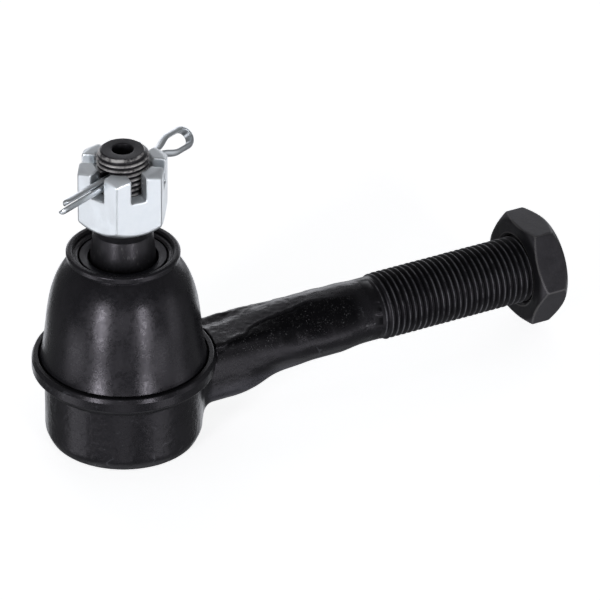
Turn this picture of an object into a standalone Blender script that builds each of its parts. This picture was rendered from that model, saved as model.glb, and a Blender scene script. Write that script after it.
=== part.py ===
"""Tie rod end: a ball joint on a threaded shank.

The origin is the centre of the housing's flat underside. +Z is the ball stud's
axis and +X runs along the shank. Lengths are in metres, written as mm times MM.
"""

import math

import bmesh
import bpy
from mathutils import Matrix, Vector

MM = 0.001

# Joint centre and fits
BALL_Z = 15.1
BALL_R = 11.0
FIT = 0.3

# Housing, rolled over the end cover at its foot
HOUSING_R = 18.1
HOUSING_TOP = 21.0
FOOT_R = 17.07
FOOT_CHAMFER = 2.2
BORE_R = 14.7
COVER_BORE_R = 15.5
COVER_BORE_TOP = 3.2
LIP_R = 13.9
LIP_H = 1.0
MOUTH_R = 10.8
MOUTH_Z = 19.9
CONE_Z = 17.2
BOOT_STEP_R = 16.4
BOOT_STEP_Z = 17.3

# Arm and threaded shank, M16 x 1.5
ARM_START = 16.2
ARM_HALF_WIDTH = 7.2
ARM_TOP_HALF = 5.9
ARM_LOW_HALF = 12.0
ARM_BEVEL = 11.9
ARM_BEVEL_ANGLE = 55.0
ARM_SHARPNESS = 10.0
ARM_BLEND_START = 25.0
ARM_BLEND_END = 48.0
ROUND_R = 8.15
TOP_DROP = 0.5
PLAIN_R = 7.5
NECKING_START = 53.0
NECKING_MIDDLE = 57.0
NECKING_END = 61.0
THREAD_START = 65.0
SHANK_END = 112.0
THREAD_R = 7.97
THREAD_DEPTH = 0.7
THREAD_STEP = 3.0
END_CHAMFER = 1.2
END_R = 6.67
ARM_SIDES = 28

# Retaining ring pressed over the boot's foot
RING_R = 21.03
RING_IN_R = 19.45
RING_FLANGE_R = 18.4
RING_LOW = 16.2
RING_TOP = 21.2
RING_SEAT = 17.6

# Dust boot
BOOT_FOOT_R = 19.1
BOOT_FOOT_IN_R = 16.7
BOOT_FOOT_Z = 17.9
BELL_START = (19.0, 21.3)
BELL_PULL_LOW = (16.9, 30.0)
BELL_PULL_HIGH = (18.6, 39.9)
BELL_END = (11.4, 46.5)
INSIDE_START = (16.7, 22.5)
INSIDE_PULL_LOW = (15.2, 31.0)
INSIDE_PULL_HIGH = (16.4, 37.5)
INSIDE_END = (10.2, 43.0)
RIM_R = 13.0
RIM_TOP = 48.5
NECK_IN_R = 8.5

# Ring in the boot's neck
NECK_RING_R = 10.0
NECK_RING_IN_R = 8.0
NECK_RING_LOW = 45.2
NECK_RING_TOP = 47.3

# Ball stud, M12 x 1.25
STUD_NECK_R = 6.2
STUD_TOP = 74.5
STUD_TOP_R = 4.71
STUD_THREAD_R = 5.95
STUD_THREAD_DEPTH = 0.6
STUD_THREAD_STEP = 2.5
STUD_THREAD_LOW = 54.6
STUD_THREAD_TOP = 73.4
TAPER_LOW = (7.9, 42.5)
TAPER_HIGH = (6.75, 53.7)
COLLAR_LOW = (7.9, 38.5)
NECK_FLARE_Z = 30.0
STUD_FLARE_R = 6.7
NECK_TOP_Z = 34.0
CENTRE_HOLE_R = 2.44
CENTRE_HOLE_DEPTH = 3.2
PIN_HOLE_R = 2.3
PIN_HOLE_Z = 68.4

# Castle nut, 19 mm across flats
NUT_FLATS = 19.0
NUT_LOW = 56.7
NUT_TOP = 71.6
NUT_SLOT_FLOOR = 65.6
NUT_SLOT_WIDTH = 3.6
NUT_BORE_R = 6.3
NUT_TURN = 26.27
NUT_FOOT_R = 9.2
NUT_FOOT_CHAMFER = 1.5
NUT_CROWN_R = 9.4
NUT_CROWN_CHAMFER = 1.0
NUT_CROWN_RUN = 1.6
NUT_FOOT_RUN = 1.8

# Cotter pin, two half-round legs
PIN_TURN = 26.27
PIN_TILT = 3.0
PIN_ROLL = -45.0
PIN_Z = 68.3
PIN_R = 1.25
PIN_HALF_GAP = 0.15
PIN_LONG_TIP = -23.0
PIN_SHORT_TIP = -20.6
EYE_START = 13.0
EYE_OPEN = 18.5
EYE_END = 22.5
EYE_HALF = 1.6

# Jam nut, 24 mm across flats
JAM_FLATS = 24.0
JAM_X = 103.3
JAM_THICK = 8.0
JAM_TURN = 29.3
JAM_BORE_R = 8.28
JAM_MOUTH_R = 8.9
JAM_NEAR_R = 11.8
JAM_FAR_R = 11.4
JAM_FAR_SLOPE = 0.9
JAM_MOUTH_DEPTH = 0.62
CONE_30 = math.tan(math.radians(30.0))
PAST_CORNER = 0.65

# Inner pieces
SEAT_R = 11.3
SEAT_OUT_R = 14.4
UPPER_SEAT_LOW = 13.4
UPPER_SEAT_TOP_ANGLE = 68.0
LOWER_SEAT_TOP = 13.1
LOWER_SEAT_BOTTOM = 5.4
LOWER_SEAT_HOLE_ANGLE = 162.0
LOWER_SEAT_BOSS_R = 7.6
LOWER_SEAT_BOSS_LOW = 3.6
SPRING_IN_R = 8.2
SPRING_OUT_R = 13.4
SPRING_LOW = 3.2
SPRING_RISE = 0.9
SPRING_THICK = 1.0
COVER_R = 15.2
COVER_BOSS_R = 13.5
COVER_STEP = 1.3
COVER_TOP = 2.9
COVER_WELL = 2.2
COVER_WELL_R = 11.5

TURN_STEPS = 32
HOUSING_STEPS = 48
STUD_STEPS = 28


def clear_scene():
    for obj in list(bpy.data.objects):
        bpy.data.objects.remove(obj, do_unlink=True)


def material(name, colour, roughness, metallic):
    mat = bpy.data.materials.new(name)
    mat.use_nodes = True
    shader = mat.node_tree.nodes["Principled BSDF"]
    shader.inputs["Base Color"].default_value = (*colour, 1.0)
    shader.inputs["Roughness"].default_value = roughness
    shader.inputs["Metallic"].default_value = metallic
    return mat


def finish(name, bm, mat, origin=(0.0, 0.0, 0.0)):
    """Turn a bmesh in world metres into an object whose origin is at origin."""
    bmesh.ops.recalc_face_normals(bm, faces=bm.faces)
    bmesh.ops.translate(bm, verts=bm.verts, vec=-Vector(origin))
    mesh = bpy.data.meshes.new(name)
    bm.to_mesh(mesh)
    bm.free()
    mesh.materials.append(mat)
    mesh.shade_smooth()
    mesh.set_sharp_from_angle(angle=math.radians(35.0))
    obj = bpy.data.objects.new(name, mesh)
    obj.location = origin
    bpy.context.scene.collection.objects.link(obj)
    return obj


def turned(profile, steps=TURN_STEPS):
    """Spin a closed (radius, height) outline in mm about Z."""
    bm = bmesh.new()
    ring = [bm.verts.new((r * MM, 0.0, z * MM)) for r, z in profile]
    edges = [bm.edges.new((a, b)) for a, b in zip(ring, ring[1:] + ring[:1])
             if a.co.x > 1e-9 or b.co.x > 1e-9]
    bmesh.ops.spin(bm, geom=ring + edges, cent=(0, 0, 0), axis=(0, 0, 1),
                   angle=2.0 * math.pi, steps=steps, use_merge=True)
    bmesh.ops.remove_doubles(bm, verts=bm.verts, dist=1e-7)
    return bm


def bezier(p0, p1, p2, p3, count):
    """Points of a cubic curve, end points included."""
    points = []
    for i in range(count + 1):
        t = i / count
        weights = ((1 - t) ** 3, 3 * (1 - t) ** 2 * t, 3 * (1 - t) * t * t, t ** 3)
        points.append(tuple(sum(w * p[k] for w, p in zip(weights, (p0, p1, p2, p3)))
                            for k in range(2)))
    return points


def ball_arc(radius, start_deg, end_deg, count):
    """(radius, height) points on a sphere about the ball centre, angles from +Z."""
    points = []
    for i in range(count + 1):
        angle = math.radians(start_deg + (end_deg - start_deg) * i / count)
        points.append((radius * math.sin(angle), BALL_Z + radius * math.cos(angle)))
    return points


def ridges(start, end, crest, depth, step):
    """(position, radius) points of a thread drawn as rings."""
    count = round((end - start) / step)
    pitch = (end - start) / count
    points = []
    for i in range(count):
        points.append((start + pitch * i, crest - depth))
        points.append((start + pitch * (i + 0.5), crest))
    points.append((end, crest - depth))
    return points


def smooth(x, start, end):
    t = min(1.0, max(0.0, (x - start) / (end - start)))
    return t * t * (3.0 - 2.0 * t)


def boolean(obj, tool, operation):
    mod = obj.modifiers.new(operation.lower() + "_" + tool.name, "BOOLEAN")
    mod.operation = operation
    mod.solver = "EXACT"
    mod.object = tool
    tool.hide_render = True
    tool.display_type = "WIRE"


def cylinder(radius, low, high, sides, turn=Matrix.Identity(4)):
    """A cylinder in mm about Z from low to high, then turned."""
    bm = bmesh.new()
    bmesh.ops.create_cone(bm, cap_ends=True, segments=sides, radius1=radius * MM,
                          radius2=radius * MM, depth=(high - low) * MM)
    bmesh.ops.translate(bm, verts=bm.verts, vec=(0, 0, (high + low) / 2 * MM))
    bmesh.ops.transform(bm, matrix=turn, verts=bm.verts)
    return bm


def box(size, centre, turn=Matrix.Identity(4)):
    """A box with sides and centre in mm, then turned."""
    bm = bmesh.new()
    bmesh.ops.create_cube(bm, size=1.0)
    bmesh.ops.scale(bm, verts=bm.verts, vec=[s * MM for s in size])
    bmesh.ops.translate(bm, verts=bm.verts, vec=[c * MM for c in centre])
    bmesh.ops.transform(bm, matrix=turn, verts=bm.verts)
    return bm


def rings_to_mesh(rings):
    """Skin a list of equal point rings and cap both ends."""
    bm = bmesh.new()
    loops = [[bm.verts.new(p) for p in ring] for ring in rings]
    count = len(loops[0])
    for a, b in zip(loops, loops[1:]):
        for i in range(count):
            j = (i + 1) % count
            bm.faces.new((a[i], a[j], b[j], b[i]))
    bm.faces.new(loops[0][::-1])
    bm.faces.new(loops[-1])
    return bm


def arm_section(x):
    """One ring of the arm: a rounded box at the housing, round at the shank."""
    blend = smooth(x, ARM_BLEND_START, ARM_BLEND_END)
    neck = smooth(x, NECKING_START, NECKING_END)
    bevel = math.radians(ARM_BEVEL_ANGLE)
    ring = []
    for i in range(ARM_SIDES):
        angle = 2.0 * math.pi * (i + 0.5) / ARM_SIDES
        c, s = math.cos(angle), math.sin(angle)
        reach = sum(max(0.0, part) ** ARM_SHARPNESS for part in (
            abs(c) / ARM_HALF_WIDTH, s / ARM_TOP_HALF, -s / ARM_LOW_HALF,
            (abs(c) * math.cos(bevel) - s * math.sin(bevel)) / ARM_BEVEL))
        flat = reach ** (-1.0 / ARM_SHARPNESS)
        turned_r = ROUND_R - TOP_DROP * max(0.0, s) * (1.0 - neck)
        radius = flat + (turned_r + (PLAIN_R - turned_r) * neck - flat) * blend
        ring.append((x * MM, radius * c * MM, (BALL_Z + radius * s) * MM))
    return ring


def round_section(x, radius):
    ring = []
    for i in range(ARM_SIDES):
        angle = 2.0 * math.pi * (i + 0.5) / ARM_SIDES
        ring.append((x * MM, radius * math.cos(angle) * MM,
                     (BALL_Z + radius * math.sin(angle)) * MM))
    return ring


def build_housing(mat):
    shell = [
        (FOOT_R, 0.0), (HOUSING_R, FOOT_CHAMFER), (HOUSING_R, BOOT_STEP_Z),
        (BOOT_STEP_R, BOOT_STEP_Z), (BOOT_STEP_R, HOUSING_TOP),
        (MOUTH_R + 0.4, HOUSING_TOP), (MOUTH_R, HOUSING_TOP - 0.4), (MOUTH_R, MOUTH_Z),
        (BORE_R, CONE_Z), (BORE_R, COVER_BORE_TOP), (COVER_BORE_R, COVER_BORE_TOP),
        (COVER_BORE_R, LIP_H), (LIP_R, LIP_H), (LIP_R, 0.0),
    ]
    housing = finish("housing", turned(shell, HOUSING_STEPS), mat)

    sections = [arm_section(ARM_START)]
    x = ARM_BLEND_START
    while x < ARM_BLEND_END + 0.1:
        sections.append(arm_section(x))
        x += (ARM_BLEND_END - ARM_BLEND_START) / 8
    sections += [arm_section(x) for x in (NECKING_START, NECKING_MIDDLE, NECKING_END)]
    thread = ridges(THREAD_START, SHANK_END - END_CHAMFER, THREAD_R, THREAD_DEPTH, THREAD_STEP)
    sections += [round_section(x, r) for x, r in thread]
    sections.append(round_section(SHANK_END, END_R))
    arm = finish("arm_guide", rings_to_mesh(sections), mat)

    ring_seat = finish("ring_seat_cutter", cylinder(RING_R + FIT, RING_LOW - FIT, 30.0, HOUSING_STEPS), mat)
    boolean(arm, ring_seat, "DIFFERENCE")
    boolean(housing, arm, "UNION")
    return housing


def build_stud(mat):
    ball_top = math.degrees(math.asin(STUD_NECK_R / BALL_R))
    outline = [(0.0, BALL_Z - BALL_R)]
    outline += ball_arc(BALL_R, 180.0, ball_top, 11)[1:]
    outline += [
        (STUD_NECK_R, NECK_FLARE_Z), (STUD_FLARE_R, NECK_TOP_Z),
        COLLAR_LOW, TAPER_LOW, TAPER_HIGH,
    ]
    outline += [(r, z) for z, r in ridges(STUD_THREAD_LOW, STUD_THREAD_TOP, STUD_THREAD_R,
                                          STUD_THREAD_DEPTH, STUD_THREAD_STEP)]
    outline += [
        (STUD_TOP_R, STUD_TOP), (CENTRE_HOLE_R, STUD_TOP),
        (CENTRE_HOLE_R, STUD_TOP - CENTRE_HOLE_DEPTH), (0.0, STUD_TOP - CENTRE_HOLE_DEPTH),
    ]
    stud = finish("ball_stud", turned(outline, STUD_STEPS), mat, (0.0, 0.0, BALL_Z * MM))
    turn = (Matrix.Translation((0, 0, PIN_HOLE_Z * MM))
            @ Matrix.Rotation(math.radians(PIN_TURN), 4, "Z")
            @ Matrix.Rotation(math.radians(90.0), 4, "Y"))
    hole = finish("pin_hole_cutter", cylinder(PIN_HOLE_R, -9.0, 9.0, 24, turn), mat)
    boolean(stud, hole, "DIFFERENCE")
    return stud


def build_seats(mat):
    cone_slope = (BORE_R - MOUTH_R) / (MOUTH_Z - CONE_Z)
    top = ball_arc(SEAT_R, UPPER_SEAT_TOP_ANGLE, 90.0, 4)
    lip_z = top[0][1]
    lip_r = SEAT_OUT_R - (lip_z - (CONE_Z - FIT)) * cone_slope
    outline = top + [(SEAT_R, UPPER_SEAT_LOW), (SEAT_OUT_R, UPPER_SEAT_LOW),
                     (SEAT_OUT_R, CONE_Z - FIT), (lip_r, lip_z)]
    finish("upper_ball_seat", turned(outline), mat)

    start = math.degrees(math.acos((LOWER_SEAT_TOP - BALL_Z) / SEAT_R))
    outline = ball_arc(SEAT_R, start, LOWER_SEAT_HOLE_ANGLE, 6)
    hole_r = outline[-1][0]
    outline += [(hole_r, LOWER_SEAT_BOSS_LOW), (LOWER_SEAT_BOSS_R, LOWER_SEAT_BOSS_LOW),
                (LOWER_SEAT_BOSS_R, LOWER_SEAT_BOTTOM),
                (SEAT_OUT_R, LOWER_SEAT_BOTTOM), (SEAT_OUT_R, LOWER_SEAT_TOP)]
    finish("lower_ball_seat", turned(outline), mat)


def build_spring(mat):
    outline = [
        (SPRING_OUT_R, SPRING_LOW), (SPRING_OUT_R, SPRING_LOW + SPRING_THICK),
        (SPRING_IN_R, SPRING_LOW + SPRING_RISE + SPRING_THICK),
        (SPRING_IN_R, SPRING_LOW + SPRING_RISE),
    ]
    finish("preload_spring", turned(outline), mat)


def build_cover(mat):
    outline = [
        (0.0, 0.0), (COVER_BOSS_R, 0.0), (COVER_BOSS_R, COVER_STEP), (COVER_R, COVER_STEP),
        (COVER_R, COVER_TOP), (COVER_WELL_R + 0.8, COVER_TOP), (COVER_WELL_R, COVER_WELL),
        (0.0, COVER_WELL),
    ]
    finish("end_cover", turned(outline), mat)


def build_retaining_ring(mat):
    outline = [
        (RING_FLANGE_R, RING_LOW), (RING_IN_R + 0.05, RING_LOW), (RING_R, RING_LOW + 1.8),
        (RING_R, RING_TOP - 1.0), (RING_R - 0.5, RING_TOP), (RING_IN_R, RING_TOP),
        (RING_IN_R, RING_SEAT), (RING_FLANGE_R, RING_SEAT),
    ]
    finish("boot_retaining_ring", turned(outline, HOUSING_STEPS), mat)


def build_boot(mat):
    outline = [(BOOT_FOOT_IN_R, BOOT_FOOT_Z), (BOOT_FOOT_R, BOOT_FOOT_Z)]
    outline += bezier(BELL_START, BELL_PULL_LOW, BELL_PULL_HIGH, BELL_END, 8)
    outline += [
        (RIM_R - 0.7, RIM_TOP - 1.9), (RIM_R, RIM_TOP - 1.3), (RIM_R, RIM_TOP - 0.4),
        (RIM_R - 0.4, RIM_TOP), (RIM_R - 1.6, RIM_TOP), (NECK_RING_R + 0.8, NECK_RING_TOP + 0.2),
        (NECK_RING_R + FIT, NECK_RING_TOP - 0.2), (NECK_RING_R + FIT, NECK_RING_LOW - FIT),
        (NECK_IN_R, NECK_RING_LOW - FIT), (NECK_IN_R, INSIDE_END[1]),
    ]
    outline += bezier(INSIDE_START, INSIDE_PULL_LOW, INSIDE_PULL_HIGH, INSIDE_END, 6)[::-1]
    finish("dust_boot", turned(outline), mat, (0.0, 0.0, BALL_Z * MM))


def build_neck_ring(mat):
    outline = [
        (NECK_RING_IN_R, NECK_RING_LOW), (NECK_RING_R, NECK_RING_LOW),
        (NECK_RING_R, NECK_RING_TOP - 0.3), (NECK_RING_R - 0.3, NECK_RING_TOP),
        (NECK_RING_IN_R + 0.3, NECK_RING_TOP), (NECK_RING_IN_R, NECK_RING_TOP - 0.3),
    ]
    finish("boot_neck_ring", turned(outline), mat, (0.0, 0.0, BALL_Z * MM))


def build_castle_nut(mat):
    spin = Matrix.Rotation(math.radians(NUT_TURN), 4, "Z")
    nut = finish("castle_nut",
                 cylinder(NUT_FLATS / math.sqrt(3.0), NUT_LOW, NUT_TOP, 6, spin), mat)
    over = NUT_FLATS * PAST_CORNER
    crown_rise = (over - NUT_CROWN_R) * NUT_CROWN_CHAMFER / NUT_CROWN_RUN
    foot_rise = (over - NUT_FOOT_R) * NUT_FOOT_CHAMFER / NUT_FOOT_RUN
    envelope = [
        (0.0, NUT_LOW - 1.0), (NUT_FOOT_R, NUT_LOW - 1.0), (NUT_FOOT_R, NUT_LOW),
        (over, NUT_LOW + foot_rise), (over, NUT_TOP - crown_rise), (NUT_CROWN_R, NUT_TOP),
        (NUT_CROWN_R, NUT_TOP + 1.0), (0.0, NUT_TOP + 1.0),
    ]
    boolean(nut, finish("nut_envelope", turned(envelope, 36), mat), "INTERSECT")
    boolean(nut, finish("nut_bore", cylinder(NUT_BORE_R, 50.0, 80.0, 32), mat), "DIFFERENCE")
    for k in range(3):
        turn = Matrix.Rotation(math.radians(NUT_TURN + 60.0 * k), 4, "Z")
        slot = box((30.0, NUT_SLOT_WIDTH, 20.0), (0.0, 0.0, NUT_SLOT_FLOOR + 10.0), turn)
        boolean(nut, finish("nut_slot_%d" % k, slot, mat), "DIFFERENCE")


def pin_path():
    """Centre line of the wire's flat side: (along, across) in mm, one leg to the other."""
    upper = [(PIN_SHORT_TIP, PIN_HALF_GAP), (EYE_START, PIN_HALF_GAP)]
    for i in range(1, 6):
        x = EYE_START + (EYE_OPEN - EYE_START) * i / 5
        upper.append((x, PIN_HALF_GAP + (EYE_HALF - PIN_HALF_GAP) * smooth(x, EYE_START, EYE_OPEN)))
    bend = [(EYE_END + EYE_HALF * math.sin(math.pi * i / 8), EYE_HALF * math.cos(math.pi * i / 8))
            for i in range(9)]
    lower = [(x, -y) for x, y in reversed(upper[1:])] + [(PIN_LONG_TIP, -PIN_HALF_GAP)]
    return upper + bend + lower


def build_cotter_pin(mat):
    path = [Vector((x, 0.0, z)) for x, z in pin_path()]
    turn = (Matrix.Translation((0, 0, PIN_Z * MM))
            @ Matrix.Rotation(math.radians(PIN_TURN), 4, "Z")
            @ Matrix.Rotation(math.radians(PIN_TILT), 4, "Y")
            @ Matrix.Rotation(math.radians(PIN_ROLL), 4, "X"))
    across = Vector((0.0, 1.0, 0.0))
    rings = []
    for i, point in enumerate(path):
        ahead = (path[min(i + 1, len(path) - 1)] - path[max(i - 1, 0)]).normalized()
        outward = across.cross(ahead) * -1.0
        ring = []
        for k in range(9):
            angle = math.pi * k / 8
            offset = across * math.cos(angle) + outward * math.sin(angle)
            ring.append(turn @ ((point + offset * PIN_R) * MM))
        rings.append(ring)
    finish("cotter_pin", rings_to_mesh(rings), mat)


def build_jam_nut(mat):
    lay = Matrix.Translation((0, 0, BALL_Z * MM)) @ Matrix.Rotation(math.radians(90.0), 4, "Y")
    spin = Matrix.Rotation(math.radians(JAM_TURN + 30.0), 4, "Z")
    far = JAM_X + JAM_THICK
    nut = finish("jam_nut", cylinder(JAM_FLATS / math.sqrt(3.0), JAM_X, far, 6, lay @ spin),
                 mat, (0.0, 0.0, BALL_Z * MM))
    over = JAM_FLATS * PAST_CORNER
    envelope = turned([
        (0.0, JAM_X), (JAM_NEAR_R, JAM_X), (over, JAM_X + (over - JAM_NEAR_R) * CONE_30),
        (over, far - (over - JAM_FAR_R) * JAM_FAR_SLOPE), (JAM_FAR_R, far), (0.0, far),
    ], 36)
    bmesh.ops.transform(envelope, matrix=lay, verts=envelope.verts)
    boolean(nut, finish("jam_envelope", envelope, mat), "INTERSECT")
    bore = turned([
        (0.0, JAM_X - 1.0), (JAM_MOUTH_R + 1.0, JAM_X - 1.0), (JAM_BORE_R, JAM_X + JAM_MOUTH_DEPTH),
        (JAM_BORE_R, far - JAM_MOUTH_DEPTH), (JAM_MOUTH_R + 1.0, far + 1.0), (0.0, far + 1.0),
    ], 32)
    bmesh.ops.transform(bore, matrix=lay, verts=bore.verts)
    boolean(nut, finish("jam_bore", bore, mat), "DIFFERENCE")


def main():
    clear_scene()
    painted = material("painted_forging", (0.018, 0.018, 0.020), 0.42, 0.0)
    dark_steel = material("dark_steel", (0.09, 0.085, 0.08), 0.38, 0.9)
    zinc = material("bright_zinc", (0.72, 0.75, 0.79), 0.28, 1.0)
    black_nut = material("black_nut", (0.06, 0.06, 0.062), 0.5, 0.6)
    rubber = material("rubber", (0.02, 0.02, 0.022), 0.55, 0.0)
    liner = material("liner", (0.045, 0.047, 0.055), 0.4, 0.0)
    acetal = material("acetal", (0.78, 0.77, 0.72), 0.45, 0.0)
    spring_steel = material("spring_steel", (0.30, 0.29, 0.28), 0.35, 1.0)
    build_housing(painted)
    build_stud(dark_steel)
    build_seats(acetal)
    build_spring(spring_steel)
    build_cover(painted)
    build_retaining_ring(painted)
    build_boot(rubber)
    build_neck_ring(liner)
    build_castle_nut(zinc)
    build_cotter_pin(zinc)
    build_jam_nut(black_nut)


main()
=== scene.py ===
"""Tie rod end: fine visual pieces, materials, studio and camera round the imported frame.

Shapes are worked out in mm and written to meshes in metres, in the frame of the CAD
model: the origin is the centre of the housing's underside, +Z is the ball stud's
axis and +X runs along the shank.
"""

import math

import bmesh
import bpy
import numpy as np
from mathutils import Matrix, Vector


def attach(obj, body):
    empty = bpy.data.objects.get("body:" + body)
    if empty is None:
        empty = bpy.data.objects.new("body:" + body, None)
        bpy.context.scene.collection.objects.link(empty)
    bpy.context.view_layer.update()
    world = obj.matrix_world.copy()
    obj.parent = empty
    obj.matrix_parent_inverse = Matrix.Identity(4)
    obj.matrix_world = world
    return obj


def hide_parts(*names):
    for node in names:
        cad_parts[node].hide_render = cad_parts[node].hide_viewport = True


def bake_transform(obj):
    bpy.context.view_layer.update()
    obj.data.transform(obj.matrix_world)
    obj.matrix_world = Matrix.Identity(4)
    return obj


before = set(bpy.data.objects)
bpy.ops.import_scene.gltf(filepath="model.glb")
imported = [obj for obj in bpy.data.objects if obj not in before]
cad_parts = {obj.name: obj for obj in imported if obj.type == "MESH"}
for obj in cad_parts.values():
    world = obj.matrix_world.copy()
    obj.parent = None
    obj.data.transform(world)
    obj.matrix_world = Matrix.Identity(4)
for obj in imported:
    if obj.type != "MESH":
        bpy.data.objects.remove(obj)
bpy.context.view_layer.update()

MM = 0.001
FINE = 1.0

# Shared sizes, in mm
BALL_Z = 15.1
BALL_R = 11.0
HOUSING_R = 18.1
RING_R = 21.03
RING_LOW = 16.2
RING_TOP = 21.2
PLAIN_R = 7.5
ROUND_R = 8.15
SHANK_R = 8.0
SHANK_END = 112.0
SHANK_PITCH = 1.5
THREAD_START = 63.6
BOOT_SPLIT = 33.0
STUD_TOP = 74.5
STUD_R = 5.95
STUD_PITCH = 1.25
STUD_THREAD_LOW = 54.6
NUT_LOW = 56.7
NUT_TOP = 71.6
NUT_FLAT_R = 9.5
NUT_CROWN_R = 9.4
NUT_CROWN_RUN = 1.6
NUT_FOOT_R = 9.2
NUT_FOOT_SLOPE = 1.5 / 1.8
NUT_BORE_R = 6.35
NUT_MOUTH_R = 6.9
SLOT_FLOOR = 65.6
SLOT_HALF = 1.8
JAM_NEAR = 103.3
JAM_FAR = 111.3
JAM_FLAT_R = 12.0
JAM_TURN = math.radians(179.3)
JAM_NEAR_R = 11.8
JAM_FAR_R = 11.4
JAM_BORE_R = 8.28
JAM_MOUTH_R = 8.9
PIN_TURN = math.radians(26.27)
PIN_TILT = math.radians(3.0)
PIN_ROLL = math.radians(-45.0)
PIN_Z = 68.3
PIN_HOLE_Z = 68.4
PIN_R = 1.25

# Arm section, in mm from the shank's axis: reach of each of its flat sides
ARM_SIDE = 7.2
ARM_ABOVE = 5.9
ARM_BELOW = 12.0
ARM_BEVEL = 11.9
ARM_BEVEL_ANGLE = math.radians(55.0)
ARM_SHARPNESS = 12.0
ARM_BLEND = (25.0, 48.0)
NECKING = (53.0, 61.0)


# ---------------------------------------------------------------- mesh tools

def make_object(name, verts, faces, body, node, mat):
    """A mesh piece from points in mm; it rides on body and stands for the CAD node."""
    mesh = bpy.data.meshes.new(name)
    mesh.from_pydata((np.asarray(verts, float) * MM).tolist(), [], [list(map(int, f)) for f in faces])
    mesh.update()
    mesh.materials.append(mat)
    mesh.shade_smooth()
    obj = bpy.data.objects.new(name, mesh)
    bpy.context.scene.collection.objects.link(obj)
    if body:
        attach(obj, body)
    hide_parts(node)
    return obj


def float_attribute(obj, name, values):
    """Store one number per point for a material to read."""
    layer = obj.data.attributes.new(name, "FLOAT", "POINT")
    layer.data.foreach_set("value", np.asarray(values, np.float32))


def clean(obj, dist=2e-6):
    """Merge doubled points and make every normal face outward."""
    bm = bmesh.new()
    bm.from_mesh(obj.data)
    bmesh.ops.remove_doubles(bm, verts=bm.verts, dist=dist)
    bmesh.ops.dissolve_degenerate(bm, edges=bm.edges, dist=1e-7)
    bmesh.ops.recalc_face_normals(bm, faces=bm.faces)
    bm.to_mesh(obj.data)
    bm.free()


def cut(obj, tool_verts, tool_faces):
    """Take a closed shape, in mm, out of the object and keep the result."""
    mesh = bpy.data.meshes.new("cutter")
    mesh.from_pydata((np.asarray(tool_verts, float) * MM).tolist(), [], tool_faces)
    tool = bpy.data.objects.new("cutter", mesh)
    bpy.context.scene.collection.objects.link(tool)
    mod = obj.modifiers.new("cut", "BOOLEAN")
    mod.operation = "DIFFERENCE"
    mod.solver = "EXACT"
    mod.object = tool
    bpy.context.view_layer.update()
    graph = bpy.context.evaluated_depsgraph_get()
    result = bpy.data.meshes.new_from_object(obj.evaluated_get(graph), depsgraph=graph)
    obj.modifiers.clear()
    obj.data = result
    bpy.data.objects.remove(tool, do_unlink=True)
    bpy.data.meshes.remove(mesh)


def fillet(points, segments=5):
    """A closed outline from corners (r, z, fillet radius), with tangent arcs."""
    outline = []
    count = len(points)
    for i, (r, z, radius) in enumerate(points):
        here = np.array((r, z))
        if radius <= 0:
            outline.append(tuple(here))
            continue
        before = np.array(points[i - 1][:2]) - here
        after = np.array(points[(i + 1) % count][:2]) - here
        reach_in, reach_out = np.linalg.norm(before), np.linalg.norm(after)
        before, after = before / reach_in, after / reach_out
        half = math.acos(max(-1.0, min(1.0, float(before @ after)))) / 2
        back = min(radius / math.tan(half), reach_in * 0.48, reach_out * 0.48)
        radius = back * math.tan(half)
        middle = (before + after) / np.linalg.norm(before + after)
        centre = here + middle * radius / math.sin(half)
        start, end = here + before * back - centre, here + after * back - centre
        outline.append(tuple(centre + start + before * back * 0.12))
        sweep = math.pi - 2 * half
        for k in range(segments + 1):
            t = k / segments
            arm = (math.sin((1 - t) * sweep) * start + math.sin(t * sweep) * end) / math.sin(sweep)
            outline.append(tuple(centre + arm))
        outline.append(tuple(centre + end + after * back * 0.12))
    return outline


def bezier(p0, p1, p2, p3, count):
    """Points along a cubic curve from p0 to p3."""
    t = np.linspace(0.0, 1.0, count + 1)[:, None]
    p0, p1, p2, p3 = map(np.array, (p0, p1, p2, p3))
    curve = (1 - t) ** 3 * p0 + 3 * (1 - t) ** 2 * t * p1 + 3 * (1 - t) * t * t * p2 + t ** 3 * p3
    return [tuple(p) for p in curve]


def lathe(outline, steps, ripple=None):
    """Points and quads of a closed (r, z) outline spun about Z."""
    steps = int(steps / FINE)
    outline = np.asarray(outline, float)
    count = len(outline)
    angle = np.arange(steps) * 2 * math.pi / steps
    r = np.repeat(outline[:, 0][None, :], steps, 0)
    z = np.repeat(outline[:, 1][None, :], steps, 0)
    turn = np.repeat(angle[:, None], count, 1)
    if ripple is not None:
        r, z = ripple(r, z, turn)
    verts = np.stack([r * np.cos(turn), r * np.sin(turn), z], -1).reshape(-1, 3)
    faces = []
    for i in range(steps):
        a, b = i * count, ((i + 1) % steps) * count
        for k in range(count):
            m = (k + 1) % count
            if outline[k, 0] < 1e-6 and outline[m, 0] < 1e-6:
                continue
            faces.append((a + k, b + k, b + m, a + m))
    return verts, faces


def tube_faces(rings, sides):
    """Quads between rings of points, with a face over each end."""
    faces = []
    for i in range(rings - 1):
        a, b = i * sides, (i + 1) * sides
        for k in range(sides):
            m = (k + 1) % sides
            faces.append((a + k, a + m, b + m, b + k))
    return faces + [tuple(range(sides))[::-1], tuple(range((rings - 1) * sides, rings * sides))]


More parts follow.
